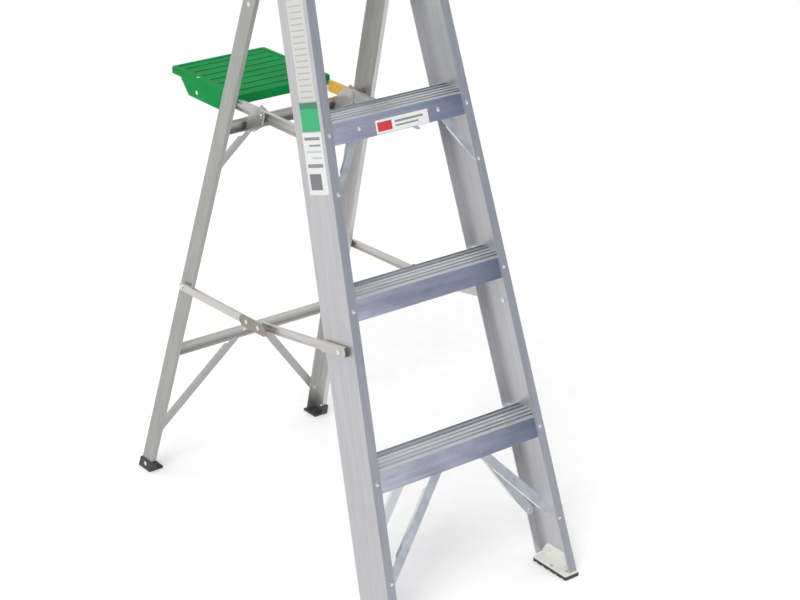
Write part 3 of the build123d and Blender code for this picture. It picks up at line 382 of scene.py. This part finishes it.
def apron_sticker(name, left, right, low, high, sheet):
    """A thin sheet on the front of the top step, between two heights; the apron leans back with the rails."""
    rows = np.linspace(0.0, 1.0, 13)
    columns = np.linspace(0.0, 1.0, 41)
    rise, across = np.meshgrid(rows, columns, indexing="ij")
    border = np.minimum.reduce([rise, 1 - rise, across, 1 - across])
    lift = STICKER_RISE * np.minimum(1.0, border / STICKER_ROLL) + STICKER_GAP
    run = low + rise * (high - low)
    depth = 0.0022 - lift
    x = left + across * (right - left)
    y = FRONT_Y + run * np.sin(FRONT_SLOPE) + depth * np.cos(FRONT_SLOPE)
    z = run * np.cos(FRONT_SLOPE) - depth * np.sin(FRONT_SLOPE)
    return sheet_piece(name, x, y, z, rise, across, sheet)


def sheet_piece(name, x, y, z, first, second, finish):
    """A mesh from three arrays of the same shape, with the two parameters kept as its UV map."""
    rows, columns = x.shape
    points = np.stack([x, y, z], axis=-1).reshape(-1, 3)
    index = np.arange(rows * columns).reshape(rows, columns)
    faces = np.stack([index[:-1, :-1], index[:-1, 1:], index[1:, 1:], index[1:, :-1]], axis=-1).reshape(-1, 4)
    faces = faces[:, ::-1]
    mesh = bpy.data.meshes.new(name)
    mesh.from_pydata(points.tolist(), [], faces.tolist())
    layer = mesh.uv_layers.new(name="sheet")
    corner = np.zeros(len(mesh.loops), dtype=np.int32)
    mesh.loops.foreach_get("vertex_index", corner)
    pairs = np.stack([second.reshape(-1), first.reshape(-1)], axis=-1)[corner]
    layer.data.foreach_set("uv", pairs.astype(np.float32).reshape(-1))
    mesh.polygons.foreach_set("use_smooth", [True] * len(mesh.polygons))
    mesh.update()
    piece = bpy.data.objects.new(name, mesh)
    bpy.context.scene.collection.objects.link(piece)
    piece.data.materials.append(finish)
    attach(piece, "front_section")
    return piece


def sticker_finish(name, ground, blocks, rough=0.42):
    """Printed film: a plain ground with a few plain blocks of colour, slightly uneven and mostly matt.

    Each block is (left, right, bottom, top, colour), as parts of the sticker.
    """
    material, tree, shader, place = new_material(name)
    sheet = tree.nodes.new("ShaderNodeUVMap")
    sheet.uv_map = "sheet"
    where = tree.nodes.new("ShaderNodeSeparateXYZ")
    tree.links.new(sheet.outputs["UV"], where.inputs[0])
    grime = noise(tree, place, 120.0, 5.0, 0.65)
    tone = mix(tree, spread(tree, grime, 0.0, 0.25, 0.5, 0.8), ground, tuple(0.78 * value for value in ground))
    for left, right, bottom, top, colour in blocks:
        share = None
        for axis, low, high in (("X", left, right), ("Y", bottom, top)):
            for edge, way in ((low, "GREATER_THAN"), (high, "LESS_THAN")):
                test = tree.nodes.new("ShaderNodeMath")
                test.operation = way
                test.inputs[1].default_value = edge
                tree.links.new(where.outputs[axis], test.inputs[0])
                if share is None:
                    share = test.outputs[0]
                else:
                    both = tree.nodes.new("ShaderNodeMath")
                    both.operation = "MULTIPLY"
                    tree.links.new(share, both.inputs[0])
                    tree.links.new(test.outputs[0], both.inputs[1])
                    share = both.outputs[0]
        tone = mix(tree, share, tone, colour)
    tree.links.new(tone, shader.inputs["Base Color"])
    tree.links.new(spread(tree, grime, rough - 0.08, rough + 0.15, 0.3, 0.7), shader.inputs["Roughness"])
    bump(tree, shader, grime, 0.00004, 0.4)
    return material


INK = (0.22, 0.22, 0.23)
PALE = (0.64, 0.65, 0.65)
ticks = [(0.12, 0.88, 0.03 + 0.06 * k, 0.045 + 0.06 * k, (0.38, 0.38, 0.37)) for k in range(16)]
silver_film = sticker_finish("silver_film", (0.52, 0.52, 0.50), ticks, 0.30)
green_film = sticker_finish("green_film", (0.02, 0.36, 0.14), [(0.0, 1.0, 0.78, 1.0, (0.03, 0.20, 0.10))])
white_blocks = [
    (0.10, 0.90, 0.88, 0.93, INK),
    (0.10, 0.70, 0.78, 0.81, INK),
    (0.10, 0.85, 0.68, 0.71, (0.45, 0.46, 0.47)),
    (0.10, 0.60, 0.58, 0.61, (0.45, 0.46, 0.47)),
    (0.10, 0.90, 0.44, 0.50, INK),
    (0.28, 0.88, 0.08, 0.34, (0.16, 0.16, 0.17)),
]
white_film = sticker_finish("white_film", PALE, white_blocks)
apron_film = sticker_finish(
    "apron_film",
    PALE,
    [(0.03, 0.30, 0.18, 0.84, (0.50, 0.03, 0.04)), (0.36, 0.90, 0.58, 0.74, INK), (0.36, 0.80, 0.30, 0.42, INK)],
)
rail_sticker("rail_sticker_silver", 0.968, 1.142, 0.012, 0.064, silver_film)
rail_sticker("rail_sticker_green", 0.916, 0.966, 0.010, 0.066, green_film)
rail_sticker("rail_sticker_white", 0.806, 0.914, 0.010, 0.070, white_film)
apron_sticker("apron_sticker", -0.051, 0.063, 0.8870, 0.9120, apron_film)


# ------------------------------------------------------------------ floor, light and camera
def floor():
    """A wide pale sheet under the feet."""
    mesh = bpy.data.meshes.new("studio_floor")
    reach = 40.0
    corners = [(-reach, -reach, 0), (reach, -reach, 0), (reach, reach, 0), (-reach, reach, 0)]
    mesh.from_pydata(corners, [], [(0, 1, 2, 3)])
    piece = bpy.data.objects.new("studio_floor", mesh)
    bpy.context.scene.collection.objects.link(piece)
    material, tree, shader, place = new_material("studio_paper")
    fibre = noise(tree, place, 30.0, 4.0, 0.5)
    paper = ramp(tree, fibre, [(0.3, (0.93, 0.93, 0.93)), (0.7, (0.96, 0.96, 0.96))])
    tree.links.new(paper, shader.inputs["Base Color"])
    shader.inputs["Roughness"].default_value = 0.9
    piece.data.materials.append(material)
    piece.location = (0, 0, -0.0002)
    piece.visible_glossy = False


def area_light(name, place, aim, size, power, colour):
    """A soft square light at a place, turned towards a point."""
    light = bpy.data.lights.new(name, "AREA")
    light.size = size
    light.energy = power
    light.color = colour
    lamp = bpy.data.objects.new(name, light)
    bpy.context.scene.collection.objects.link(lamp)
    way = Vector(aim) - Vector(place)
    lamp.matrix_world = Matrix.Translation(Vector(place)) @ way.to_track_quat("-Z", "Y").to_matrix().to_4x4()


def studio_surroundings(tree):
    """What the metal mirrors: a pale wall behind and to the left, a dim bluish room in front and to the right.

    Everything else is lit by an even white dome.
    """
    background = tree.nodes["Background"]
    path = tree.nodes.new("ShaderNodeLightPath")
    way = tree.nodes.new("ShaderNodeTexCoord").outputs["Generated"]
    towards = tree.nodes.new("ShaderNodeVectorMath")
    towards.operation = "DOT_PRODUCT"
    towards.inputs[1].default_value = (-0.70, 0.62, 0.35)
    tree.links.new(way, towards.inputs[0])
    room = ramp(
        tree,
        spread(tree, towards.outputs["Value"], 0.0, 1.0, -1.0, 1.0),
        [
            (0.00, (0.10, 0.13, 0.20)),
            (0.12, (0.26, 0.30, 0.38)),
            (0.30, (0.50, 0.53, 0.60)),
            (0.60, (0.70, 0.70, 0.70)),
            (1.00, (0.98, 0.96, 0.93)),
        ],
    )
    height = tree.nodes.new("ShaderNodeSeparateXYZ")
    tree.links.new(way, height.inputs[0])
    room = mix(tree, spread(tree, height.outputs["Z"], 1.0, 0.0, -0.18, -0.02), room, (0.84, 0.84, 0.85))
    tree.links.new(mix(tree, path.outputs["Is Glossy Ray"], (0.99, 0.99, 1.0), room), background.inputs["Color"])
    background.inputs["Strength"].default_value = 1.0


floor()
world = bpy.data.worlds.new("studio_air")
bpy.context.scene.world = world
world.use_nodes = True
studio_surroundings(world.node_tree)
area_light("key_light", (-3.2, -2.2, 4.6), (0, 0, 0.6), 2.5, 130.0, (1.0, 0.98, 0.95))

TURN = math.radians(-36.961)
RISE = math.radians(22.235)
AIM = Vector((0.22206, 0.56298 + FRONT_Y, 0.48014))
REACH = 4.10018
SENSOR_WIDTH = 36.0
FRAME_WIDTH = 800.0
FRAME_MIDDLE = 300.0
FOCAL = 2074.6
CENTRE_ROW = 243.22
camera_data = bpy.data.cameras.new("studio_camera")
camera_data.sensor_width = SENSOR_WIDTH
camera_data.lens = FOCAL * SENSOR_WIDTH / FRAME_WIDTH
camera_data.shift_y = (CENTRE_ROW - FRAME_MIDDLE) / FRAME_WIDTH
camera = bpy.data.objects.new("studio_camera", camera_data)
bpy.context.scene.collection.objects.link(camera)
back = Vector((math.sin(TURN) * math.cos(RISE), -math.cos(TURN) * math.cos(RISE), math.sin(RISE)))
camera.matrix_world = Matrix.Translation(AIM + back * REACH) @ back.to_track_quat("Z", "Y").to_matrix().to_4x4()
bpy.context.scene.camera = camera

bpy.context.scene.view_settings.view_transform = "Standard"
